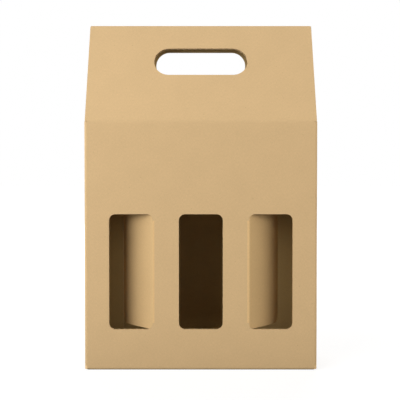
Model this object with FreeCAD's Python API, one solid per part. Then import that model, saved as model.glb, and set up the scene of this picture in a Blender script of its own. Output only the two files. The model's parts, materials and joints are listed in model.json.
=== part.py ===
import FreeCAD, Part
import math
import os

# Bottle box of corrugated board: an upright body with three windows, a folded
# bottom, and two gable panels that lean together into a carrying ridge.
# Origin at the middle of the underside, X along the width, the windows face -Y, Z up.
# All lengths are in millimetres, all angles in degrees.

V = FreeCAD.Vector
UP = V(0, 0, 1)
ALONG_X = V(1, 0, 0)
ALONG_Y = V(0, 1, 0)

# Board
BOARD = 3.0
FOLD_RADIUS = 3.0
CUT_GAP = 0.4

# Body
BOX_WIDTH = 254.2
BOX_DEPTH = 85.0
BODY_HEIGHT = 272.0

# Windows in the front wall
WINDOW_WIDTH = 48.0
WINDOW_HEIGHT = 126.2
WINDOW_BOTTOM = 44.6
WINDOW_PITCH = 0.3 * BOX_WIDTH
WINDOW_RADIUS = 7.0

# Divider flaps, each cut from an outer window and folded inwards
DIVIDER_FOLD = 40.0
KNUCKLE_GAP = 0.3
KNUCKLE_END_GAP = 1.0

# Gable panels
PANEL_SLANT = 118.4
PANEL_SIDE_INSET = 0.75
PANEL_CORNER_RADIUS = 1.5
CREASE_GAP = 0.2
RIDGE_GAP = 0.3

# Hand hole, one in each gable panel
HOLE_WIDTH = 104.6
HOLE_HEIGHT = 33.0
HOLE_UP_SLANT = 72.7

# Dust flaps, folded in from the tops of the side walls
DUST_REACH = 22.0
DUST_SIDE_GAP = 2.0
DUST_DROP = 1.5
DUST_TAPER = 3.0
DUST_CORNER_RADIUS = 6.0

# Bottom, two outer flaps that interlock and two inner flaps from the side walls
SIDE_CREASE_RISE = 1.0
SIDE_CREASE_RADIUS = 1.5
INNER_FLAP_REACH = 90.0
INNER_FLAP_SIDE_GAP = 1.5
INNER_FLAP_TAPER = 12.0
INNER_FLAP_RADIUS = 8.0
SEAM_GAP = 0.8
TONGUE_HALF_WIDTH = 45.0
TONGUE_REACH = 12.0
TONGUE_SLOPE = 8.0

# Glue tab, folded from the left wall and glued inside the back wall
SEAM_OVERLAP = 0.6
TAB_WIDTH = 30.0
TAB_END_GAP = 9.0
TAB_END_SLOPE = 8.0

# Derived places
HALF_WIDTH = BOX_WIDTH / 2
HALF_DEPTH = BOX_DEPTH / 2
INNER_X = HALF_WIDTH - BOARD
INNER_Y = HALF_DEPTH - BOARD
HINGE_X = WINDOW_PITCH - WINDOW_WIDTH / 2
SLANT_DIAGONAL = math.hypot(PANEL_SLANT, BOARD)
LEAN = math.degrees(
    math.asin((HALF_DEPTH - RIDGE_GAP / 2) / SLANT_DIAGONAL) - math.atan2(BOARD, PANEL_SLANT)
)
MITRE = math.tan(math.radians(LEAN / 2))
DUST_TOP = BODY_HEIGHT - DUST_DROP

# Planes for flat outlines: how the drawing is turned, and the sense of its depth
PLAN = (FreeCAD.Rotation(), 1)
FRONT = (FreeCAD.Rotation(ALONG_X, 90), -1)
SIDE = (FreeCAD.Rotation(V(1, 1, 1), 120), 1)


def turned_corner(before, corner, after, radius):
    """Start, middle and end of the arc that rounds one corner of an outline."""
    towards_before = (before - corner).normalize()
    towards_after = (after - corner).normalize()
    half_angle = towards_before.getAngle(towards_after) / 2
    setback = radius / math.tan(half_angle)
    bisector = (towards_before + towards_after).normalize()
    centre = corner + bisector * (radius / math.sin(half_angle))
    start = corner + towards_before * setback
    end = corner + towards_after * setback
    return start, centre - bisector * radius, end


def outline_wire(corners):
    """A closed wire through (first, second, radius) corners, with round corners as arcs."""
    points = [V(first, second, 0) for first, second, radius in corners]
    edges = []
    pen = None
    first_point = None
    for index, (first, second, radius) in enumerate(corners):
        corner = points[index]
        start = end = corner
        if radius > 0:
            after = points[(index + 1) % len(points)]
            start, middle, end = turned_corner(points[index - 1], corner, after, radius)
        if pen is not None and pen.distanceToPoint(start) > 1e-6:
            edges.append(Part.LineSegment(pen, start).toShape())
        if radius > 0:
            edges.append(Part.Arc(start, middle, end).toShape())
        if first_point is None:
            first_point = start
        pen = end
    if pen.distanceToPoint(first_point) > 1e-6:
        edges.append(Part.LineSegment(pen, first_point).toShape())
    return Part.Wire(edges)


def prism(corners, plane, start, end):
    """An outline drawn in a plane and pushed from start to end across that plane."""
    turn, sense = plane
    low = min(sense * start, sense * end)
    solid = Part.Face(outline_wire(corners)).extrude(V(0, 0, end - start))
    solid.translate(V(0, 0, low))
    solid.Placement = FreeCAD.Placement(V(), turn).multiply(solid.Placement)
    return solid


def block(x_low, x_high, y_low, y_high, z_low, z_high):
    """A plain block between two corners."""
    corner = V(x_low, y_low, z_low)
    return Part.makeBox(x_high - x_low, y_high - y_low, z_high - z_low, corner)


def rectangle(first_low, first_high, second_low, second_high, radius=0.0):
    """Corners of a rectangle whose four corners share one radius."""
    return [
        (first_low, second_low, radius),
        (first_high, second_low, radius),
        (first_high, second_high, radius),
        (first_low, second_high, radius),
    ]


def mirrored_x(shape):
    """The same shape on the left side of the box."""
    return shape.mirror(V(0, 0, 0), ALONG_X)


def wall_plan():
    """Outer outline of the walls from above, with the glued seam at the back left corner."""
    raw_edge = -INNER_X - SEAM_OVERLAP
    return [
        (-HALF_WIDTH, -HALF_DEPTH, FOLD_RADIUS),
        (HALF_WIDTH, -HALF_DEPTH, FOLD_RADIUS),
        (HALF_WIDTH, HALF_DEPTH, FOLD_RADIUS),
        (raw_edge, HALF_DEPTH, 0),
        (raw_edge, INNER_Y, 0),
        (-HALF_WIDTH, INNER_Y, BOARD - SEAM_OVERLAP),
    ]


def front_wall_section():
    """Section across the depth: the front and back walls fold round into the bottom."""
    return [
        (-HALF_DEPTH, 0, FOLD_RADIUS),
        (HALF_DEPTH, 0, FOLD_RADIUS),
        (HALF_DEPTH, BODY_HEIGHT, 0),
        (-HALF_DEPTH, BODY_HEIGHT, 0),
    ]


def side_wall_section():
    """Section across the width: the side walls crease a little above the outer bottom flaps."""
    foot = HALF_WIDTH - SIDE_CREASE_RADIUS
    return [
        (-foot, 0, 0),
        (foot, 0, 0),
        (foot, SIDE_CREASE_RISE, 0),
        (HALF_WIDTH, SIDE_CREASE_RISE, SIDE_CREASE_RADIUS),
        (HALF_WIDTH, BODY_HEIGHT, 0),
        (-HALF_WIDTH, BODY_HEIGHT, 0),
        (-HALF_WIDTH, SIDE_CREASE_RISE, SIDE_CREASE_RADIUS),
        (-foot, SIDE_CREASE_RISE, 0),
    ]


def folded_shell():
    """Walls and outer bottom flaps as one open-topped shell of board."""
    outside = prism(wall_plan(), PLAN, 0, BODY_HEIGHT)
    outside = outside.common(prism(front_wall_section(), SIDE, -HALF_WIDTH, HALF_WIDTH))
    outside = outside.common(prism(side_wall_section(), FRONT, -HALF_DEPTH, HALF_DEPTH))
    inside = block(-INNER_X, INNER_X, -INNER_Y, INNER_Y, BOARD, BODY_HEIGHT)
    return outside.cut(inside)


def crease_bevel():
    """What is cut from the front wall's top so that the leaning panel meets it at a mitre."""
    top = BODY_HEIGHT - CREASE_GAP / 2
    above = BODY_HEIGHT + BOARD
    bevel = [
        (-HALF_DEPTH - BOARD, top + BOARD * MITRE, 0),
        (-INNER_Y, top - BOARD * MITRE, 0),
        (-INNER_Y, above, 0),
        (-HALF_DEPTH - BOARD, above, 0),
    ]
    return prism(bevel, SIDE, -HALF_WIDTH, HALF_WIDTH)


def lowered_sides():
    """What is cut from the side walls' tops, which stop just under the gable creases."""
    return block(-HALF_WIDTH, HALF_WIDTH, -INNER_Y, INNER_Y, DUST_TOP, BODY_HEIGHT)


def dust_flap_plan():
    """Outline of the right dust flap from above, tapered towards its free end."""
    half = INNER_Y - DUST_SIDE_GAP
    free_x = INNER_X - DUST_REACH
    return [
        (HALF_WIDTH, -half, 0),
        (HALF_WIDTH, half, 0),
        (INNER_X, half, 0),
        (free_x, half - DUST_TAPER, DUST_CORNER_RADIUS),
        (free_x, -half + DUST_TAPER, DUST_CORNER_RADIUS),
        (INNER_X, -half, 0),
    ]


def dust_flap():
    """Right dust flap with the round fold that joins it to the side wall."""
    fold_foot = DUST_TOP - 2 * BOARD
    under = DUST_TOP - BOARD
    free_x = INNER_X - DUST_REACH
    section = [
        (HALF_WIDTH, fold_foot, 0),
        (HALF_WIDTH, DUST_TOP, FOLD_RADIUS),
        (free_x, DUST_TOP, 0),
        (free_x, under, 0),
        (INNER_X, under, 0),
        (INNER_X, fold_foot, 0),
    ]
    folded = prism(section, FRONT, -HALF_DEPTH, HALF_DEPTH)
    return folded.common(prism(dust_flap_plan(), PLAN, fold_foot, DUST_TOP))


def dust_flap_notch():
    """Room in the right wall's top for the fold of the dust flap."""
    half = INNER_Y - DUST_SIDE_GAP
    return block(INNER_X, HALF_WIDTH, -half, half, DUST_TOP - 2 * BOARD, DUST_TOP)


def inner_bottom_flap():
    """Right inner bottom flap, lying on the two outer ones."""
    half = INNER_Y - INNER_FLAP_SIDE_GAP
    free_x = INNER_X - INNER_FLAP_REACH
    plan = [
        (INNER_X, -half, 0),
        (INNER_X, half, 0),
        (free_x, half - INNER_FLAP_TAPER, INNER_FLAP_RADIUS),
        (free_x, -half + INNER_FLAP_TAPER, INNER_FLAP_RADIUS),
    ]
    return prism(plan, PLAN, BOARD, 2 * BOARD)


def bottom_seam():
    """Thin gap where the front outer flap's tongue locks into the back outer flap."""
    shoulder = TONGUE_HALF_WIDTH + TONGUE_SLOPE
    near = [
        (-HALF_WIDTH, 0),
        (-shoulder, 0),
        (-TONGUE_HALF_WIDTH, TONGUE_REACH),
        (TONGUE_HALF_WIDTH, TONGUE_REACH),
        (shoulder, 0),
        (HALF_WIDTH, 0),
    ]
    far = [(first, second + SEAM_GAP) for first, second in reversed(near)]
    return prism([(first, second, 0) for first, second in near + far], PLAN, 0, BOARD)


def glue_tab():
    """Tab inside the back wall at the left corner, its ends cut at a slope."""
    low = TAB_END_GAP
    high = DUST_TOP - TAB_END_GAP
    free_x = -INNER_X + TAB_WIDTH
    outline = [
        (-INNER_X, low, 0),
        (free_x, low + TAB_END_SLOPE, 0),
        (free_x, high - TAB_END_SLOPE, 0),
        (-INNER_X, high, 0),
    ]
    return prism(outline, FRONT, INNER_Y - BOARD, INNER_Y)


def window_cut(centre_x):
    """One window's opening through the front wall."""
    half = WINDOW_WIDTH / 2
    top = WINDOW_BOTTOM + WINDOW_HEIGHT
    outline = rectangle(centre_x - half, centre_x + half, WINDOW_BOTTOM, top, WINDOW_RADIUS)
    return prism(outline, FRONT, -HALF_DEPTH - BOARD, -INNER_Y + BOARD)


def hinge_span():
    """Lowest and highest point of a divider's crease, just inside its window's round corners."""
    inset = WINDOW_RADIUS + KNUCKLE_END_GAP
    return WINDOW_BOTTOM + inset, WINDOW_BOTTOM + WINDOW_HEIGHT - inset


def knuckle(radius, low, high):
    """Quarter round of a right divider's fold, centred on its crease, inside the wall."""
    axis_foot = V(HINGE_X, -INNER_Y, low)
    round_bar = Part.makeCylinder(radius, high - low, axis_foot, UP)
    quarter = block(HINGE_X - radius, HINGE_X, -INNER_Y - radius, -INNER_Y, low, high)
    return round_bar.common(quarter)


def knuckle_seat():
    """Hollow in the edge of the right window that the divider's fold turns in."""
    low, high = hinge_span()
    return knuckle(BOARD + KNUCKLE_GAP, low - KNUCKLE_GAP, high + KNUCKLE_GAP)


def flat_divider():
    """The right divider as it lies in its window before it is folded."""
    left = HINGE_X + CUT_GAP
    right = HINGE_X + WINDOW_WIDTH - CUT_GAP
    low = WINDOW_BOTTOM + CUT_GAP
    high = WINDOW_BOTTOM + WINDOW_HEIGHT - CUT_GAP
    outline = rectangle(left, right, low, high, WINDOW_RADIUS - CUT_GAP)
    leaf = prism(outline, FRONT, -HALF_DEPTH, -INNER_Y)
    crease_low, crease_high = hinge_span()
    root = block(HINGE_X, left + BOARD, -HALF_DEPTH, -INNER_Y, crease_low, crease_high)
    return leaf.fuse(root).fuse(knuckle(BOARD, crease_low, crease_high)).removeSplitter()


def right_divider():
    """The right divider folded inwards about its crease."""
    flap = flat_divider()
    flap.rotate(V(HINGE_X, -INNER_Y, 0), UP, DIVIDER_FOLD)
    return flap


def box_body():
    """Walls, bottom, dust flaps and glue tab: all of the sheet that stays folded."""
    shell = folded_shell()
    bevel = crease_bevel()
    back_bevel = bevel.mirror(V(0, 0, 0), ALONG_Y)
    seat = knuckle_seat()
    notch = dust_flap_notch()
    cuts = [bevel, back_bevel, lowered_sides(), notch, mirrored_x(notch), bottom_seam()]
    cuts += [window_cut(side * WINDOW_PITCH) for side in (-1, 0, 1)]
    cuts += [seat, mirrored_x(seat)]
    flap = dust_flap()
    inner = inner_bottom_flap()
    added = [flap, mirrored_x(flap), inner, mirrored_x(inner), glue_tab()]
    return shell.cut(cuts).fuse(added).removeSplitter()


def flat_panel():
    """A gable panel standing upright on its crease, outer face towards the front."""
    half = HALF_WIDTH - PANEL_SIDE_INSET
    corner = PANEL_CORNER_RADIUS
    outline = [(-half, 0, 0), (half, 0, 0), (half, PANEL_SLANT, corner), (-half, PANEL_SLANT, corner)]
    return prism(outline, FRONT, 0, BOARD)


def foot_bevel():
    """What is cut from the panel's foot, the other half of the mitre at the crease."""
    foot = CREASE_GAP / 2
    bevel = [
        (-BOARD, foot - BOARD * MITRE, 0),
        (2 * BOARD, foot + 2 * BOARD * MITRE, 0),
        (2 * BOARD, -BOARD, 0),
        (-BOARD, -BOARD, 0),
    ]
    return prism(bevel, SIDE, -HALF_WIDTH, HALF_WIDTH)


def hand_hole():
    """The hole with half-round ends that the hand goes through."""
    low = HOLE_UP_SLANT - HOLE_HEIGHT / 2
    outline = rectangle(-HOLE_WIDTH / 2, HOLE_WIDTH / 2, low, low + HOLE_HEIGHT, HOLE_HEIGHT / 2)
    return prism(outline, FRONT, -BOARD, 2 * BOARD)


def front_gable_panel():
    """Front gable panel, leaning back from its crease to the ridge."""
    panel = flat_panel().cut([foot_bevel(), hand_hole()])
    panel.rotate(V(0, 0, 0), ALONG_X, -LEAN)
    panel.translate(V(0, -HALF_DEPTH, BODY_HEIGHT))
    return panel


def back_gable_panel():
    """The same panel turned round to the back wall."""
    panel = front_gable_panel()
    panel.rotate(V(0, 0, 0), UP, 180)
    return panel


def main():
    os.makedirs("parts", exist_ok=True)
    divider = right_divider()
    nodes = {
        "box_body": box_body(),
        "front_gable_panel": front_gable_panel(),
        "back_gable_panel": back_gable_panel(),
        "right_divider_flap": divider,
        "left_divider_flap": mirrored_x(divider),
    }
    for name, shape in nodes.items():
        solids = shape.Solids
        print(name, len(solids), "solid", round(shape.Volume, 1), "mm3, valid", shape.isValid())
        solids[0].exportStep("parts/" + name + ".step")


main()
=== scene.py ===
import json
import math
from collections import Counter

import bpy
import numpy as np
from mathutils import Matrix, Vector


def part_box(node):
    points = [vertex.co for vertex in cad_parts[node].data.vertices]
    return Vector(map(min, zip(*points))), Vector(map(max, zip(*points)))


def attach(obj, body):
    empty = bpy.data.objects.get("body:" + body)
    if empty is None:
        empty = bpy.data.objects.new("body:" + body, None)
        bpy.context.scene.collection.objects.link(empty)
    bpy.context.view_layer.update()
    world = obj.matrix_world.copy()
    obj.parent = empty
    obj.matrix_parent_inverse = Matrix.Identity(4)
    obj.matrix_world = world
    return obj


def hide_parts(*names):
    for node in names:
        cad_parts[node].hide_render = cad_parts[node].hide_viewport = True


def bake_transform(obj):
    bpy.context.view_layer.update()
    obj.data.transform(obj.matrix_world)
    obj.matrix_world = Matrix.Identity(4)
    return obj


# Bottle box of corrugated board. Each stretch of the folded sheet is built as two liners
# with a wavy medium between them, first flat and then bent along its creases.
# Sheet coordinates: p across the flutes (round the walls), q along the flutes (upwards),
# w inwards from the outer face. Metres throughout.

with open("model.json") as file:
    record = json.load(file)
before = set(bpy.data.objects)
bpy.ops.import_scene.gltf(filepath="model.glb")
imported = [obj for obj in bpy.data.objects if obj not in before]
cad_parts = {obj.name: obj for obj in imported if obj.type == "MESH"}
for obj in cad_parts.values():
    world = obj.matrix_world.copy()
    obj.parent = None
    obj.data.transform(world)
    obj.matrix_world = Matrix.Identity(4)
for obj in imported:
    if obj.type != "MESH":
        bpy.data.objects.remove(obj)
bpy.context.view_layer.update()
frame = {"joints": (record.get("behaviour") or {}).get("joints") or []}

MM = 0.001

# Board
BOARD = 3.0 * MM
LINER = 0.35 * MM
MEDIUM = 0.26 * MM
FLUTE_PITCH = 6.4 * MM
FOLD_RADIUS = 3.0 * MM
SMALLEST_RADIUS = 0.15 * MM
CORNER_REACH = BOARD + SMALLEST_RADIUS

# Gaps of the cut sheet
CUT_GAP = 0.4 * MM
KERF = 0.2 * MM
RIDGE_GAP = 0.3 * MM
SEAM_GAP = 0.8 * MM
GLUE_GAP = 0.05 * MM
FLAP_FOOT_GAP = 0.3 * MM
PANEL_FOOT_GAP = 0.35 * MM
TAB_SLIT = 0.1 * MM

# Places, taken from the frame
BODY_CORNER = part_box("box_body")[1]
DIVIDER_LOW, DIVIDER_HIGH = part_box("right_divider_flap")
CREASES = {joint["name"]: Vector(joint["pos_m"]) for joint in frame["joints"]}
HALF_WIDTH = BODY_CORNER.x
HALF_DEPTH = BODY_CORNER.y
PANEL_HALF_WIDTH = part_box("front_gable_panel")[1].x
SHOULDER = CREASES["front_gable_crease"].z
HINGE_X = CREASES["right_divider_crease"].x

# Windows
WINDOW_WIDTH = 48.0 * MM
WINDOW_BOTTOM = DIVIDER_LOW.z - CUT_GAP
WINDOW_TOP = DIVIDER_HIGH.z + CUT_GAP
WINDOW_RADIUS = 7.0 * MM

# Gable panels and their hand holes
PANEL_SLANT = 118.4 * MM
PANEL_CORNER_RADIUS = 1.5 * MM
BOARD_ANGLE = math.atan2(BOARD, PANEL_SLANT)
LEAN = math.asin((HALF_DEPTH - RIDGE_GAP / 2) / math.hypot(PANEL_SLANT, BOARD)) - BOARD_ANGLE
SHOULDER_RADIUS = 16.0 * MM
RIDGE = SHOULDER + PANEL_SLANT
HOLE_WIDTH = 104.6 * MM
HOLE_HEIGHT = 33.0 * MM
HOLE_RADIUS = HOLE_HEIGHT / 2 - 0.01 * MM
HOLE_UP_SLANT = 72.7 * MM

# Walls
WALL_HALF = HALF_WIDTH - FOLD_RADIUS
WALL_LOW = 1.0 * MM
WALL_TOP = 271.9 * MM
WALL_END = HALF_DEPTH - 0.2 * MM

# Outer bottom flaps, with the tongue and notch of their seam
OUTER_FLAP_HALF = HALF_WIDTH - 0.8 * MM
TONGUE_HALF_WIDTH = 45.0 * MM
TONGUE_REACH = 12.0 * MM
TONGUE_SLOPE = 8.0 * MM

# Inner bottom flaps
INNER_FLAP_LEVEL = 3.06 * MM
INNER_FLAP_REACH = 90.0 * MM
INNER_FLAP_HALF = 38.0 * MM
INNER_FLAP_TAPER = 12.0 * MM
INNER_FLAP_RADIUS = 8.0 * MM
SLOT_TOP = 3.5 * MM
SLOT_SIDE = HALF_DEPTH - CORNER_REACH

# Dust flaps
DUST_LEVEL = 270.5 * MM
DUST_REACH = 22.0 * MM
DUST_HALF = 37.5 * MM
DUST_TAPER = 3.0 * MM
DUST_CORNER_RADIUS = 6.0 * MM

# Glue tab, and how far the flaps beside it reach
TAB_CORNER = HALF_DEPTH - BOARD - GLUE_GAP
TAB_WIDTH = 30.0 * MM
TAB_LOW = 9.0 * MM
TAB_HIGH = 261.5 * MM
TAB_SLOPE = 8.0 * MM
TAB_SIDE_LIMIT = 36.0 * MM

# Dividers
DIVIDER_FOLD = math.radians(40)
CREASE_INSET = 7.1 * MM
CREASE_LOW = WINDOW_BOTTOM + CREASE_INSET
CREASE_HIGH = WINDOW_TOP - CREASE_INSET
ROOT = 1.6 * MM
CURL = 4.0 * MM
CURL_REACH = 28.0 * MM

# Fineness of the meshes
SAMPLES_PER_FLUTE = 10
LINER_COLUMNS = 24
ROW_SPACING = 20.0 * MM
FOLD_STEPS = 10
ARC_STEPS = 8
FLAP_ARC_STEPS = 6
STRIP_ARC_STEPS = 4
HOLE_ARC_STEPS = 14
SHARP_ANGLE = math.radians(35)
HAIR = 1e-6
UPRIGHT = 1e-9
SMALLEST_STEP = 2e-6
LEVEL_DIGITS = 7

# Painted light and shade in the paper's tone: reach of the painted highlights along the creases, of
# the painted shade on the shoulder crease and of the painted shade darkening the foot, and how much
# each changes the tone
PAINTED_HIGHLIGHT_PEAK = 1.3
SHEET_CREASE_REACH = 2.2 * MM
DIVIDER_CREASE_REACH = 2.0 * MM
DIVIDER_CREASE_OFFSET = 0.8 * MM
SHOULDER_PAINTED_SHADE = 0.06
FOOT_PAINTED_SHADE = 0.3
FOOT_SHADE_REACH = 50.0 * MM

# Kraft paper: texture scales per metre, and the share of the tone that each moves
CLOUD_SCALE = 38
MOTTLE_SCALE = 420
FIBRE_SCALE = 2600
CROSS_FIBRE_SCALE = 2300
FLECK_SCALE = 260
CLOUD_TONE = 0.015
MOTTLE_TONE = 0.025
FIBRE_TONE = 0.07
CROSS_FIBRE_TONE = 0.05
# Share of the tone moved by the painted highlights and painted shade
PAINTED_LIGHT_TONE = 0.25
FLECK_STRENGTH = 0.55
FLECK_DARKNESS = (0.42, 0.36, 0.30)
PAPER_GLOSS = 0.22
BUMP_STRENGTH = 0.35
BUMP_DEPTH = 0.05 * MM

# Floor: its size, its paleness, and the ring where the box's shade fades into white
FLOOR_SIZE = 6.0
FLOOR_LEVEL = -0.3 * MM
FLOOR_PALENESS = 0.15
FLOOR_SHADE = 0.25
FLOOR_LIGHT_NEAR_BOX = 0.8
SHADE_NEAR = 0.25
SHADE_FAR = 0.7

# Light
LIT_MIDDLE = (0, 0, 0.2)
NEUTRAL = (1.0, 1.0, 1.0)
WARM = (1.0, 0.97, 0.91)
COOL = (0.91, 0.95, 1.0)
WORLD_FILL = 0.14

# Camera
CAMERA_PLACE = (-0.9 * MM, -HALF_DEPTH - 0.6967, 0.2240)
CAMERA_TILT = math.radians(1.05)
CAMERA_LENS = 57.6
CAMERA_SENSOR = 36.0
CAMERA_SHIFT = -0.0572
CAMERA_CLIP_END = 30.0


# Flat outlines

def rounded(corners, steps=ARC_STEPS):
    """Points of a closed outline given as (p, q, radius) corners, round ones as arcs."""
    points = []
    count = len(corners)
    for index, (p, q, radius) in enumerate(corners):
        corner = Vector((p, q))
        if radius <= 0:
            points.append((p, q))
            continue
        before = Vector(corners[index - 1][:2]) - corner
        after = Vector(corners[(index + 1) % count][:2]) - corner
        half = before.angle(after) / 2
        bisector = (before.normalized() + after.normalized()).normalized()
        centre = corner + bisector * (radius / math.sin(half))
        start = corner + before.normalized() * (radius / math.tan(half)) - centre
        sweep = math.pi - 2 * half
        turn = 1 if before.x * after.y - before.y * after.x < 0 else -1
        for step in range(steps + 1):
            angle = turn * sweep * step / steps
            points.append((
                centre.x + start.x * math.cos(angle) - start.y * math.sin(angle),
                centre.y + start.x * math.sin(angle) + start.y * math.cos(angle),
            ))
    return points


def rounded_box(p_low, p_high, q_low, q_high, radius, steps=ARC_STEPS):
    """Outline of a rectangle with round corners."""
    return rounded([
        (p_low, q_low, radius), (p_high, q_low, radius),
        (p_high, q_high, radius), (p_low, q_high, radius),
    ], steps)


# Flat meshes

def outline_edges(loops):
    """The outlines' edges that aren't upright, each from its lower to its higher p."""
    edges = []
    for loop in loops:
        for a, b in zip(loop, loop[1:] + loop[:1]):
            if abs(a[0] - b[0]) > UPRIGHT:
                edges.append((a, b) if a[0] < b[0] else (b, a))
    return edges


def column_places(loops, columns, edges):
    """Every p where the mesh has a column: the outlines' points and the given columns inside."""
    p_low = min(a[0] for a, b in edges)
    p_high = max(b[0] for a, b in edges)
    inside = [p for p in columns if p_low < p < p_high]
    places = sorted([p for loop in loops for p, q in loop] + inside)
    kept = places[:1]
    for p in places:
        if p - kept[-1] > SMALLEST_STEP:
            kept.append(p)
    return kept


def crossings(edges, p_low, p_high):
    """Stretches of board between two columns, as (low, high) on the left and on the right."""
    middle = (p_low + p_high) / 2
    hits = []
    for (p_a, q_a), (p_b, q_b) in edges:
        if p_a < middle < p_b:
            slope = (q_b - q_a) / (p_b - p_a)
            at = [q_a + slope * (p - p_a) for p in (middle, p_low, p_high)]
            hits.append([at[0], round(at[1], LEVEL_DIGITS), round(at[2], LEVEL_DIGITS)])
    hits.sort()
    return [(a[1], b[1], a[2], b[2]) for a, b in zip(hits[0::2], hits[1::2])]


def zip_columns(left, right):
    """Triangles between two upright columns of (q, index) points, from the bottom up."""
    triangles = []
    i = j = 0
    while i < len(left) - 1 or j < len(right) - 1:
        go_right = i == len(left) - 1 or (j < len(right) - 1 and right[j + 1][0] <= left[i + 1][0])
        if go_right:
            triangles.append((left[i][1], right[j][1], right[j + 1][1]))
            j += 1
        else:
            triangles.append((left[i][1], right[j][1], left[i + 1][1]))
            i += 1
    return [t for t in triangles if len(set(t)) == 3]


def flat_mesh(loops, columns, rows):
    """Points and triangles of a flat outline with holes, cut at the given columns and rows."""
    edges = outline_edges(loops)
    places = column_places(loops, columns, edges)
    strips = [crossings(edges, a, b) for a, b in zip(places, places[1:])]
    marks = [set() for _ in places]
    for index, strip in enumerate(strips):
        for left_low, left_high, right_low, right_high in strip:
            marks[index].update((left_low, left_high))
            marks[index + 1].update((right_low, right_high))
    rows = sorted(round(q, LEVEL_DIGITS) for q in rows)
    points = []
    lookup = {}

    def column_points(index, low, high):
        levels = {q for q in marks[index] if low <= q <= high}
        levels.update(q for q in rows if low < q < high)
        column = []
        for q in sorted(levels):
            if (index, q) not in lookup:
                lookup[index, q] = len(points)
                points.append((places[index], q))
            column.append((q, lookup[index, q]))
        return column

    triangles = []
    for index, strip in enumerate(strips):
        for left_low, left_high, right_low, right_high in strip:
            left = column_points(index, left_low, left_high)
            right = column_points(index + 1, right_low, right_high)
            triangles += zip_columns(left, right)
    return np.array(points), triangles


# Folding

def fold_path(q, w, corner, heading, folds):
    """Where a point at distance q along a folded outer face and depth w inside it comes to lie.

    corner is the place of the first fold's outer corner, heading the direction before it,
    and folds lists (q of the corner, turn, outer radius). Every fold turns towards the inside.
    """
    place = np.array(corner, float)
    ahead = np.array(heading, float)
    last_q = folds[0][0]
    inward = np.array((ahead[1], -ahead[0]))
    result = place + np.outer(q - last_q, ahead) + np.outer(w, inward)
    for corner_q, turn, radius in folds:
        place = place + ahead * (corner_q - last_q)
        inward = np.array((ahead[1], -ahead[0]))
        bend = np.maximum(radius - w, SMALLEST_RADIUS)
        reach = (bend + w) * math.tan(turn / 2)
        after = np.array((
            ahead[0] * math.cos(turn) + ahead[1] * math.sin(turn),
            -ahead[0] * math.sin(turn) + ahead[1] * math.cos(turn),
        ))
        after_inward = np.array((after[1], -after[0]))
        centre = place - np.outer(reach, ahead) + np.outer(bend + w, inward)
        angle = turn * (q - corner_q + reach) / (2 * reach)
        arc = centre - bend[:, None] * (
            np.outer(np.cos(angle), inward) + np.outer(np.sin(angle), -ahead)
        )
        straight = place + np.outer(q - corner_q, after) + np.outer(w, after_inward)
        in_arc = np.abs(q - corner_q) <= reach
        beyond = q - corner_q > reach
        result[in_arc] = arc[in_arc]
        result[beyond] = straight[beyond]
        ahead = after
        last_q = corner_q
    return result


def rows_at_folds(folds):
    """Rows across folds, close enough together for smooth bends."""
    rows = []
    for corner_q, turn, radius in folds:
        reach = (max(radius, BOARD) + SMALLEST_RADIUS) * math.tan(turn / 2)
        rows += [corner_q - reach + 2 * reach * k / FOLD_STEPS for k in range(FOLD_STEPS + 1)]
    return rows


def even_rows(low, high):
    """Evenly spaced rows over a stretch."""
    first = math.floor(low / ROW_SPACING)
    last = math.ceil(high / ROW_SPACING)
    return [ROW_SPACING * k for k in range(first, last)]


# Layers of the board: each gives the depths of its outer and inner face at p

def flute(p):
    """Middle depth of the wavy medium."""
    swing = BOARD / 2 - LINER - MEDIUM / 2
    return BOARD / 2 + swing * np.cos(2 * math.pi * p / FLUTE_PITCH)


def outer_liner(p):
    return np.zeros_like(p), np.full_like(p, LINER)


def medium(p):
    return flute(p) - MEDIUM / 2, flute(p) + MEDIUM / 2


def inner_liner(p):
    return np.full_like(p, BOARD - LINER), np.full_like(p, BOARD)


def layer_faces(triangles, base, count, material):
    """Faces of a closed thin layer and their materials: both sides and the cut edges."""
    faces = []
    materials = []
    directed = Counter()
    for a, b, c in triangles:
        directed.update(((a, b), (b, c), (c, a)))
        faces.append((base + a, base + b, base + c))
        faces.append((base + count + c, base + count + b, base + count + a))
        materials += [material, material]
    cut = FLUTING_SLOT if material == FLUTING_SLOT else CUT_SLOT
    for a, b in directed:
        if (b, a) not in directed:
            faces.append((base + b, base + a, base + count + a))
            faces.append((base + b, base + count + a, base + count + b))
            materials += [cut, cut]
    return faces, materials


def add_layer(build, loops, columns, rows, depths, place, material, painted_light):
    """Adds one closed thin layer of the board to the mesh being built."""
    points, triangles = flat_mesh(loops, columns, rows)
    p, q = points[:, 0], points[:, 1]
    base = sum(len(v) for v in build["verts"])
    for w in depths(p):
        build["verts"].append(place(p, q, w))
        build["sheet"].append(np.stack((p, q, w), axis=1))
        build["painted_light"].append(painted_light(p, q))
    faces, materials = layer_faces(triangles, base, len(points), material)
    build["faces"] += faces
    build["materials"] += materials


def board_mesh(name, build, outer_paper):
    """Mesh of a built stretch, with its place on the sheet and its painted light and shade as
    attributes.
    """
    mesh = bpy.data.meshes.new(name)
    mesh.from_pydata(np.concatenate(build["verts"]).tolist(), [], build["faces"])
    mesh.attributes.new("sheet", "FLOAT_VECTOR", "POINT").data.foreach_set(
        "vector", np.concatenate(build["sheet"]).astype(np.float32).ravel()
    )
    mesh.attributes.new("painted_light", "FLOAT", "POINT").data.foreach_set(
        "value", np.concatenate(build["painted_light"]).astype(np.float32)
    )
    for material in (outer_paper, INNER_KRAFT, FLUTING, CUT_EDGE):
        mesh.materials.append(material)
    mesh.polygons.foreach_set("material_index", build["materials"])
    mesh.polygons.foreach_set("use_smooth", [True] * len(mesh.polygons))
    mesh.update()
    mesh.set_sharp_from_angle(angle=SHARP_ANGLE)
    return mesh


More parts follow.
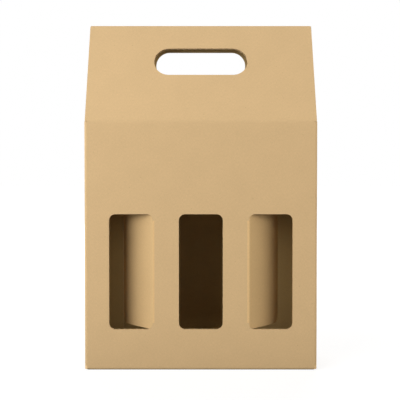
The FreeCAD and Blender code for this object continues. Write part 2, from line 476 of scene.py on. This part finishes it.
def board_piece(name, loops, rows, place, painted_light, flip=False, bends=(), outer_paper=None):
    """A stretch of the sheet as one object: outer liner, medium and inner liner."""
    build = {"verts": [], "faces": [], "sheet": [], "painted_light": [], "materials": []}
    p_low = min(p for loop in loops for p, q in loop)
    p_high = max(p for loop in loops for p, q in loop)
    step = FLUTE_PITCH / SAMPLES_PER_FLUTE
    fine = [step * k for k in range(math.floor(p_low / step), math.ceil(p_high / step) + 1)]
    coarse = [p_low + (p_high - p_low) * k / LINER_COLUMNS for k in range(1, LINER_COLUMNS)]
    fine += bends
    coarse += bends
    add_layer(build, loops, coarse, rows, outer_liner, place, OUTER_SLOT, painted_light)
    add_layer(build, loops, fine, rows, medium, place, FLUTING_SLOT, painted_light)
    add_layer(build, loops, coarse, rows, inner_liner, place, INNER_SLOT, painted_light)
    if flip:
        build["faces"] = [face[::-1] for face in build["faces"]]
    piece = bpy.data.objects.new(name, board_mesh(name, build, outer_paper or OUTER_KRAFT))
    bpy.context.scene.collection.objects.link(piece)
    return piece


def across_creases(foot, shoulder):
    """Painted light along the creases: a pale painted highlight on the foot crease, painted shade
    on the shoulder crease, and painted shade darkening the wall towards its foot.
    """
    def painted_light(p, q):
        # Painted highlight on the foot crease; painted shade on the shoulder crease and towards the
        # foot
        pale = np.clip(PAINTED_HIGHLIGHT_PEAK - np.abs(q - foot) / SHEET_CREASE_REACH, 0, 1)
        dark = np.clip(1 - np.abs(q - shoulder) / SHEET_CREASE_REACH, 0, 1)
        foot_shade = np.clip(1 - np.abs(q - foot) / FOOT_SHADE_REACH, 0, 1)
        return pale - SHOULDER_PAINTED_SHADE * dark - FOOT_PAINTED_SHADE * foot_shade

    return painted_light


# Shader nodes

def new_material(name):
    material = bpy.data.materials.new(name)
    material.use_nodes = True
    tree = material.node_tree
    tree.nodes.clear()
    return material, tree


def attribute(tree, name, output):
    node = tree.nodes.new("ShaderNodeAttribute")
    node.attribute_name = name
    return node.outputs[output]


def noise(tree, scale, stretch=(1, 1, 1), detail=3.0, offset=(0, 0, 0)):
    """Noise laid out on the flat sheet, so that it runs on across the folds."""
    mapping = tree.nodes.new("ShaderNodeMapping")
    mapping.inputs["Scale"].default_value = [scale * s for s in stretch]
    mapping.inputs["Location"].default_value = offset
    tree.links.new(attribute(tree, "sheet", "Vector"), mapping.inputs["Vector"])
    texture = tree.nodes.new("ShaderNodeTexNoise")
    texture.inputs["Scale"].default_value = 1.0
    texture.inputs["Detail"].default_value = detail
    tree.links.new(mapping.outputs["Vector"], texture.inputs["Vector"])
    return texture.outputs["Fac"]


def spread(tree, value, low, high, to_low, to_high):
    """Maps a value from low..high to another range."""
    ramp = tree.nodes.new("ShaderNodeMapRange")
    ramp.inputs["From Min"].default_value = low
    ramp.inputs["From Max"].default_value = high
    ramp.inputs["To Min"].default_value = to_low
    ramp.inputs["To Max"].default_value = to_high
    tree.links.new(value, ramp.inputs["Value"])
    return ramp.outputs["Result"]


def combine(tree, operation, first, second):
    node = tree.nodes.new("ShaderNodeMath")
    node.operation = operation
    tree.links.new(first, node.inputs[0])
    tree.links.new(second, node.inputs[1])
    return node.outputs["Value"]


def diffuse(tree, level):
    node = tree.nodes.new("ShaderNodeBsdfDiffuse")
    node.inputs["Color"].default_value = (level, level, level, 1)
    return node.outputs["BSDF"]


def switch(tree, factor, off, on):
    """A shader that is off where the factor is 0 and on where it is 1."""
    node = tree.nodes.new("ShaderNodeMixShader")
    tree.links.new(factor, node.inputs["Fac"])
    tree.links.new(off, node.inputs[1])
    tree.links.new(on, node.inputs[2])
    return node.outputs["Shader"]


# Kraft paper

def paper_tone(tree, mottle, fibre):
    """Cloudy, mottled and fibrous tone around 1, changed by the painted highlights and painted
    shade.
    """
    cloud = noise(tree, CLOUD_SCALE, detail=2.0)
    cross_fibre = noise(tree, CROSS_FIBRE_SCALE, stretch=(0.2, 1.0, 1.0), offset=(5, 2, 0))
    tone = spread(tree, cloud, 0.3, 0.7, 1 - CLOUD_TONE, 1 + CLOUD_TONE)
    for value, low, high, swing in (
        (mottle, 0.25, 0.75, MOTTLE_TONE),
        (fibre, 0.2, 0.8, FIBRE_TONE),
        (cross_fibre, 0.2, 0.8, CROSS_FIBRE_TONE),
        # Painted highlights and painted shade, carried by the painted_light attribute
        (attribute(tree, "painted_light", "Fac"), -1.0, 1.0, PAINTED_LIGHT_TONE),
    ):
        tone = combine(tree, "MULTIPLY", tone, spread(tree, value, low, high, 1 - swing, 1 + swing))
    return tone


def with_flecks(tree, colour, base):
    """A paper colour with sparse dark flecks in it."""
    spots = tree.nodes.new("ShaderNodeTexVoronoi")
    spots.inputs["Scale"].default_value = FLECK_SCALE
    spots.inputs["Randomness"].default_value = 1.0
    tree.links.new(attribute(tree, "sheet", "Vector"), spots.inputs["Vector"])
    core = spread(tree, spots.outputs["Distance"], 0.06, 0.13, 1.0, 0.0)
    chosen = spread(tree, spots.outputs["Color"], 0.80, 0.86, 0.0, FLECK_STRENGTH)
    mix = tree.nodes.new("ShaderNodeMix")
    mix.data_type = "RGBA"
    mix.inputs["B"].default_value = [c * dark for c, dark in zip(base, FLECK_DARKNESS)] + [1.0]
    tree.links.new(combine(tree, "MULTIPLY", core, chosen), mix.inputs["Factor"])
    tree.links.new(colour, mix.inputs["A"])
    return mix.outputs["Result"]


def kraft_material(name, base, roughness, flecks=True, fuzz=0.0):
    """Kraft paper: cloudy tone, fine fibres, sparse dark flecks and a soft uneven surface."""
    material, tree = new_material(name)
    nodes, links = tree.nodes, tree.links
    output = nodes.new("ShaderNodeOutputMaterial")
    shader = nodes.new("ShaderNodeBsdfPrincipled")
    links.new(shader.outputs["BSDF"], output.inputs["Surface"])
    shader.inputs["Roughness"].default_value = roughness
    shader.inputs["Specular IOR Level"].default_value = PAPER_GLOSS
    mottle = noise(tree, MOTTLE_SCALE, detail=4.0, offset=(3, 1, 0))
    fibre = noise(tree, FIBRE_SCALE, stretch=(1.0, 0.16, 1.0))
    toned = nodes.new("ShaderNodeVectorMath")
    toned.operation = "SCALE"
    toned.inputs[0].default_value = base
    links.new(paper_tone(tree, mottle, fibre), toned.inputs["Scale"])
    colour = toned.outputs["Vector"]
    if flecks:
        colour = with_flecks(tree, colour, base)
    links.new(colour, shader.inputs["Base Color"])
    fibre_height = spread(tree, fibre, 0.0, 1.0, 0.4, 1.0)
    mottle_height = spread(tree, mottle, 0.0, 1.0, 0.6, 1.0)
    bump = nodes.new("ShaderNodeBump")
    bump.inputs["Strength"].default_value = BUMP_STRENGTH + fuzz
    bump.inputs["Distance"].default_value = BUMP_DEPTH * (1 + 2 * fuzz)
    links.new(combine(tree, "MULTIPLY", fibre_height, mottle_height), bump.inputs["Height"])
    links.new(bump.outputs["Normal"], shader.inputs["Normal"])
    return material


OUTER_SLOT, INNER_SLOT, FLUTING_SLOT, CUT_SLOT = range(4)
OUTER_KRAFT = kraft_material("kraft_liner", (0.64, 0.442, 0.229), 0.78)
# The dividers' liner: the same paper as the walls, made darker as painted shade
SHADED_DIVIDER_KRAFT = kraft_material("kraft_divider_liner_painted_shade", (0.60, 0.402, 0.19), 0.78)
INNER_KRAFT = kraft_material("kraft_inner_liner", (0.48, 0.335, 0.142), 0.85)
FLUTING = kraft_material("kraft_fluting", (0.55, 0.375, 0.205), 0.85, flecks=False)
CUT_EDGE = kraft_material("kraft_cut_edge", (0.60, 0.42, 0.24), 0.9, flecks=False, fuzz=0.4)


# Floor

def floor_material(name):
    """Pale floor, seen as white where it is lit and a little darker where the box shades it."""
    material, tree = new_material(name)
    nodes, links = tree.nodes, tree.links
    output = nodes.new("ShaderNodeOutputMaterial")
    place = nodes.new("ShaderNodeNewGeometry")
    distance = nodes.new("ShaderNodeVectorMath")
    distance.operation = "LENGTH"
    links.new(place.outputs["Position"], distance.inputs[0])
    near_box = 1 - FLOOR_SHADE * FLOOR_LIGHT_NEAR_BOX
    glow = nodes.new("ShaderNodeEmission")
    links.new(
        spread(tree, distance.outputs["Value"], SHADE_NEAR, SHADE_FAR, near_box, 1.0),
        glow.inputs["Strength"],
    )
    seen = nodes.new("ShaderNodeAddShader")
    links.new(diffuse(tree, FLOOR_SHADE), seen.inputs[0])
    links.new(glow.outputs["Emission"], seen.inputs[1])
    rays = nodes.new("ShaderNodeLightPath")
    surface = switch(
        tree, rays.outputs["Is Camera Ray"], diffuse(tree, FLOOR_PALENESS), seen.outputs["Shader"]
    )
    links.new(surface, output.inputs["Surface"])
    return material


def covered_floor_material(name):
    """The part of the floor that the box stands on."""
    material, tree = new_material(name)
    output = tree.nodes.new("ShaderNodeOutputMaterial")
    tree.links.new(diffuse(tree, FLOOR_PALENESS), output.inputs["Surface"])
    return material


def add_floor():
    """Floor of three by three fields, the middle one dark under the box."""
    mesh = bpy.data.meshes.new("floor")
    under_x = HALF_WIDTH - FOLD_RADIUS
    under_y = HALF_DEPTH - FOLD_RADIUS
    points = [
        (x, y, FLOOR_LEVEL)
        for y in (-FLOOR_SIZE, -under_y, under_y, FLOOR_SIZE)
        for x in (-FLOOR_SIZE, -under_x, under_x, FLOOR_SIZE)
    ]
    corners = [4 * row + column for row in range(3) for column in range(3)]
    mesh.from_pydata(points, [], [(k, k + 1, k + 5, k + 4) for k in corners])
    mesh.materials.append(floor_material("pale_floor"))
    mesh.materials.append(covered_floor_material("covered_floor"))
    middle = mesh.polygons[len(corners) // 2]
    middle.material_index = 1
    floor = bpy.data.objects.new("floor", mesh)
    bpy.context.scene.collection.objects.link(floor)


# Front and back

STRIP_FOLDS = [(0.0, math.pi / 2, FOLD_RADIUS), (SHOULDER, LEAN, SHOULDER_RADIUS)]
STRIP_ROWS = even_rows(-HALF_DEPTH - TONGUE_REACH, RIDGE) + rows_at_folds(STRIP_FOLDS)


def strip_outline(flap_edge):
    """Outline from the bottom flap's free edge up to the ridge."""
    flap_foot = -CORNER_REACH - FLAP_FOOT_GAP
    panel_foot = SHOULDER + PANEL_FOOT_GAP
    wide = PANEL_HALF_WIDTH
    upper = [
        (OUTER_FLAP_HALF, flap_foot, 0), (WALL_HALF, flap_foot, 0),
        (WALL_HALF, panel_foot, 0), (wide, panel_foot, 0), (wide, RIDGE, PANEL_CORNER_RADIUS),
        (-wide, RIDGE, PANEL_CORNER_RADIUS), (-wide, panel_foot, 0), (-WALL_HALF, panel_foot, 0),
        (-WALL_HALF, flap_foot, 0), (-OUTER_FLAP_HALF, flap_foot, 0),
    ]
    return rounded(flap_edge + upper, STRIP_ARC_STEPS)


def flap_edge(edge, step):
    """Free edge of an outer bottom flap, moved by a step over the middle."""
    shoulder = TONGUE_HALF_WIDTH + TONGUE_SLOPE
    return [
        (-OUTER_FLAP_HALF, edge, 0), (-shoulder, edge, 0), (-TONGUE_HALF_WIDTH, edge + step, 0),
        (TONGUE_HALF_WIDTH, edge + step, 0), (shoulder, edge, 0), (OUTER_FLAP_HALF, edge, 0),
    ]


def hand_hole():
    low = SHOULDER + HOLE_UP_SLANT - HOLE_HEIGHT / 2
    half = HOLE_WIDTH / 2
    return rounded_box(-half, half, low, low + HOLE_HEIGHT, HOLE_RADIUS, HOLE_ARC_STEPS)


def window(centre):
    half = WINDOW_WIDTH / 2
    return rounded_box(centre - half, centre + half, WINDOW_BOTTOM, WINDOW_TOP, WINDOW_RADIUS)


def hinged_window(side):
    """An outer window, with the strip left out where its divider's root joins the wall."""
    inner, outer = HINGE_X, HINGE_X + WINDOW_WIDTH
    corners = [
        (inner, WINDOW_BOTTOM, WINDOW_RADIUS), (outer, WINDOW_BOTTOM, WINDOW_RADIUS),
        (outer, WINDOW_TOP, WINDOW_RADIUS), (inner, WINDOW_TOP, WINDOW_RADIUS),
        (inner, CREASE_HIGH, 0), (inner - ROOT, CREASE_HIGH, 0),
        (inner - ROOT, CREASE_LOW, 0), (inner, CREASE_LOW, 0),
    ]
    if side < 0:
        corners = [(-p, q, radius) for p, q, radius in reversed(corners)]
    return rounded(corners)


def strip_piece(name, facing, loops):
    """The front (facing 1) or back (facing -1) stretch, from its bottom flap to the ridge."""
    def place(p, q, w):
        path = fold_path(q, w, (-HALF_DEPTH, 0.0), (-1.0, 0.0), STRIP_FOLDS)
        return np.stack((facing * p, facing * path[:, 0], path[:, 1]), axis=1)

    return board_piece(name, loops, STRIP_ROWS, place, across_creases(0.0, SHOULDER))


def front_strip():
    outline = strip_outline(flap_edge(-HALF_DEPTH, -TONGUE_REACH))
    windows = [window(0.0), hinged_window(1), hinged_window(-1)]
    return strip_piece("front_sheet", 1, [outline, *windows, hand_hole()])


def back_strip():
    outline = strip_outline(flap_edge(-HALF_DEPTH + SEAM_GAP, TONGUE_REACH))
    return strip_piece("back_sheet", -1, [outline, hand_hole()])


# Sides

SIDE_FOLDS = [
    (INNER_FLAP_LEVEL, math.pi / 2, FOLD_RADIUS),
    (DUST_LEVEL, math.pi / 2, FOLD_RADIUS),
]
INNER_FLAP_END = INNER_FLAP_LEVEL - INNER_FLAP_REACH - BOARD
DUST_FLAP_END = DUST_LEVEL + DUST_REACH + BOARD
SIDE_ROWS = even_rows(INNER_FLAP_END, DUST_FLAP_END) + rows_at_folds(SIDE_FOLDS)


def side_place(tabbed, upright_folds):
    """Placing of a side wall whose p is the depth Y, with its two upright folds."""
    back_corner = upright_folds[1][0]

    def place(p, q, w):
        section = fold_path(q, w, (INNER_FLAP_LEVEL, HALF_WIDTH), (0.0, 1.0), SIDE_FOLDS)
        result = np.stack((section[:, 1], p, section[:, 0]), axis=1)
        plan = fold_path(p, w, (-HALF_DEPTH, HALF_WIDTH), (0.0, 1.0), upright_folds)
        turned = p > back_corner - CORNER_REACH - HAIR
        if tabbed:
            turned &= (q > TAB_LOW - HAIR) & (q < TAB_HIGH + HAIR)
            beside_tab = (p > SLOT_SIDE - HAIR) & ~turned
            result[beside_tab] = np.stack((HALF_WIDTH - w, p, q), axis=1)[beside_tab]
        turned |= p < -HALF_DEPTH + CORNER_REACH + HAIR
        result[turned, 0] = plan[turned, 1]
        result[turned, 1] = plan[turned, 0]
        result[turned, 2] = q[turned]
        if tabbed:
            result[:, 0] = -result[:, 0]
        return result

    return place


def plain_back_edge():
    """Back edge of the right wall, which wraps round the corner into the back."""
    back_end = HALF_DEPTH + FOLD_RADIUS
    return [
        (back_end, WALL_LOW, 0),
        (back_end, WALL_TOP, 0),
        (HALF_DEPTH - BOARD, WALL_TOP, 0),
        (HALF_DEPTH - BOARD, DUST_LEVEL, 0),
    ]


def tabbed_back_edge():
    """Back edge of the left wall, straight below and above its glue tab."""
    fold_end = TAB_CORNER - CORNER_REACH
    tab_start = TAB_CORNER + FOLD_RADIUS
    tab_end = TAB_CORNER + TAB_WIDTH + BOARD
    return [
        (WALL_END, WALL_LOW, 0),
        (WALL_END, TAB_LOW - TAB_SLIT, 0),
        (fold_end, TAB_LOW - TAB_SLIT, 0),
        (fold_end, TAB_LOW, 0),
        (tab_start, TAB_LOW, 0),
        (tab_end, TAB_LOW + TAB_SLOPE, 0),
        (tab_end, TAB_HIGH - TAB_SLOPE, 0),
        (tab_start, TAB_HIGH, 0),
        (fold_end, TAB_HIGH, 0),
        (fold_end, TAB_HIGH + TAB_SLIT, 0),
        (WALL_END, TAB_HIGH + TAB_SLIT, 0),
        (WALL_END, WALL_TOP, 0),
        (SLOT_SIDE, WALL_TOP, 0),
        (SLOT_SIDE, DUST_LEVEL, 0),
    ]


def side_outline(tabbed):
    """Outline of a side wall with its inner bottom flap, dust flap and both upright folds."""
    inner_back = TAB_SIDE_LIMIT if tabbed else INNER_FLAP_HALF
    dust_back = TAB_SIDE_LIMIT if tabbed else DUST_HALF
    bottom = [
        (-HALF_DEPTH - FOLD_RADIUS, WALL_LOW, 0),
        (-SLOT_SIDE, WALL_LOW, 0),
        (-SLOT_SIDE, SLOT_TOP, 0),
        (-INNER_FLAP_HALF, SLOT_TOP, 0),
        (-INNER_FLAP_HALF, INNER_FLAP_LEVEL - BOARD, 0),
        (-INNER_FLAP_HALF + INNER_FLAP_TAPER, INNER_FLAP_END, INNER_FLAP_RADIUS),
        (inner_back - INNER_FLAP_TAPER, INNER_FLAP_END, INNER_FLAP_RADIUS),
        (inner_back, INNER_FLAP_LEVEL - BOARD, 0),
        (inner_back, SLOT_TOP, 0),
        (SLOT_SIDE, SLOT_TOP, 0),
        (SLOT_SIDE, WALL_LOW, 0),
    ]
    top = [
        (dust_back, DUST_LEVEL, 0),
        (dust_back, DUST_LEVEL + BOARD, 0),
        (dust_back - DUST_TAPER, DUST_FLAP_END, DUST_CORNER_RADIUS),
        (-DUST_HALF + DUST_TAPER, DUST_FLAP_END, DUST_CORNER_RADIUS),
        (-DUST_HALF, DUST_LEVEL + BOARD, 0),
        (-DUST_HALF, DUST_LEVEL, 0),
        (-HALF_DEPTH + BOARD, DUST_LEVEL, 0),
        (-HALF_DEPTH + BOARD, WALL_TOP, 0),
        (-HALF_DEPTH - FOLD_RADIUS, WALL_TOP, 0),
    ]
    back_edge = tabbed_back_edge() if tabbed else plain_back_edge()
    return rounded(bottom + back_edge + top, FLAP_ARC_STEPS)


def side_wall(name, tabbed):
    """The right wall, or mirrored the left wall with the glue tab at its back."""
    back_corner = TAB_CORNER if tabbed else HALF_DEPTH
    upright_folds = [
        (corner, math.pi / 2, FOLD_RADIUS) for corner in (-HALF_DEPTH, back_corner)
    ]
    return board_piece(
        name, [side_outline(tabbed)], SIDE_ROWS, side_place(tabbed, upright_folds),
        across_creases(INNER_FLAP_LEVEL, DUST_LEVEL),
        flip=tabbed, bends=rows_at_folds(upright_folds),
    )


# Dividers

def divider(name, side):
    """A divider with its root in the wall, its fold and its leaf."""
    reach = BOARD * math.tan(DIVIDER_FOLD / 2)
    corner = HINGE_X + reach
    low = WINDOW_BOTTOM + KERF
    high = WINDOW_TOP - KERF
    radius = WINDOW_RADIUS - KERF
    left = HINGE_X + KERF
    right = corner + reach + WINDOW_WIDTH - CUT_GAP
    outline = rounded([
        (left, low, radius), (right, low, radius), (right, high, radius), (left, high, radius),
        (left, CREASE_HIGH, 0), (HINGE_X - ROOT, CREASE_HIGH, 0),
        (HINGE_X - ROOT, CREASE_LOW, 0), (left, CREASE_LOW, 0),
    ])
    folds = [(corner, DIVIDER_FOLD, BOARD)]

    def place(p, q, w):
        curl = CURL * np.clip(1 - (right - p) / CURL_REACH, 0, 1) ** 2
        plan = fold_path(p, w + curl, (-HALF_DEPTH, corner), (0.0, 1.0), folds)
        return np.stack((side * plan[:, 1], plan[:, 0], q), axis=1)

    # Painted highlight along the divider's crease
    def painted_light(p, q):
        from_crease = np.abs(p - HINGE_X + DIVIDER_CREASE_OFFSET)
        return np.clip(PAINTED_HIGHLIGHT_PEAK - from_crease / DIVIDER_CREASE_REACH, 0, 1)

    return board_piece(
        name, [outline], even_rows(low, high), place, painted_light,
        flip=side < 0, bends=rows_at_folds(folds), outer_paper=SHADED_DIVIDER_KRAFT,
    )


# Assembly

def blend_gable(piece):
    """Bakes the piece's placing into its mesh; the bend at the shoulder is already in its shape."""
    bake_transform(piece)


def blend_divider(piece, body, side):
    """Bakes the piece's placing into its mesh; the fold at the window's edge is already in its
    shape.
    """
    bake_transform(piece)


def build_box():
    front = front_strip()
    blend_gable(front)
    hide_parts("front_gable_panel", "box_body")
    back = back_strip()
    blend_gable(back)
    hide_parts("back_gable_panel")
    for name, tabbed in (("right_side_sheet", False), ("left_side_sheet", True)):
        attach(side_wall(name, tabbed), "body")
    for name, side in (("right_divider", 1), ("left_divider", -1)):
        piece = divider(name + "_sheet", side)
        blend_divider(piece, name, side)
        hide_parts(name + "_flap")


# Studio

def area_light(name, place, size, power, tint=NEUTRAL):
    """A rectangular light turned towards the middle of the box."""
    data = bpy.data.lights.new(name, "AREA")
    data.color = tint
    data.shape = "RECTANGLE"
    data.size, data.size_y = size
    data.energy = power
    light = bpy.data.objects.new(name, data)
    light.location = place
    towards_box = Vector(LIT_MIDDLE) - Vector(place)
    light.rotation_euler = towards_box.to_track_quat("-Z", "Y").to_euler()
    bpy.context.scene.collection.objects.link(light)


def add_lights():
    area_light("left_softbox", place=(-1.05, -0.62, 0.45), size=(1.4, 0.6), power=18.4)
    area_light("right_softbox", place=(1.25, -0.8, 0.5), size=(1.6, 0.7), power=15.3, tint=WARM)
    area_light("top_softbox", place=(0.0, -0.45, 1.5), size=(1.2, 0.8), power=3.2, tint=COOL)
    area_light("back_softbox", place=(0.0, 1.5, 0.8), size=(1.8, 1.0), power=24.0)


def background(tree, strength):
    node = tree.nodes.new("ShaderNodeBackground")
    node.inputs["Color"].default_value = (1, 1, 1, 1)
    node.inputs["Strength"].default_value = strength
    return node.outputs["Background"]


def set_world():
    """White surroundings where they are seen, and a weak even fill for the rest of the light."""
    world = bpy.data.worlds.new("studio")
    bpy.context.scene.world = world
    world.use_nodes = True
    tree = world.node_tree
    tree.nodes.clear()
    output = tree.nodes.new("ShaderNodeOutputWorld")
    rays = tree.nodes.new("ShaderNodeLightPath")
    seen = rays.outputs["Is Camera Ray"]
    for kind in ("Is Glossy Ray", "Is Transmission Ray"):
        seen = combine(tree, "MAXIMUM", seen, rays.outputs[kind])
    surroundings = switch(tree, seen, background(tree, WORLD_FILL), background(tree, 1.0))
    tree.links.new(surroundings, output.inputs["Surface"])


def add_camera():
    data = bpy.data.cameras.new("camera")
    data.sensor_width = CAMERA_SENSOR
    data.lens = CAMERA_LENS
    data.shift_y = CAMERA_SHIFT
    data.clip_end = CAMERA_CLIP_END
    camera = bpy.data.objects.new("camera", data)
    camera.location = CAMERA_PLACE
    camera.rotation_euler = (math.pi / 2 - CAMERA_TILT, 0, 0)
    bpy.context.scene.collection.objects.link(camera)
    bpy.context.scene.camera = camera


build_box()
add_floor()
add_lights()
set_world()
add_camera()
bpy.context.scene.view_settings.view_transform = "Standard"
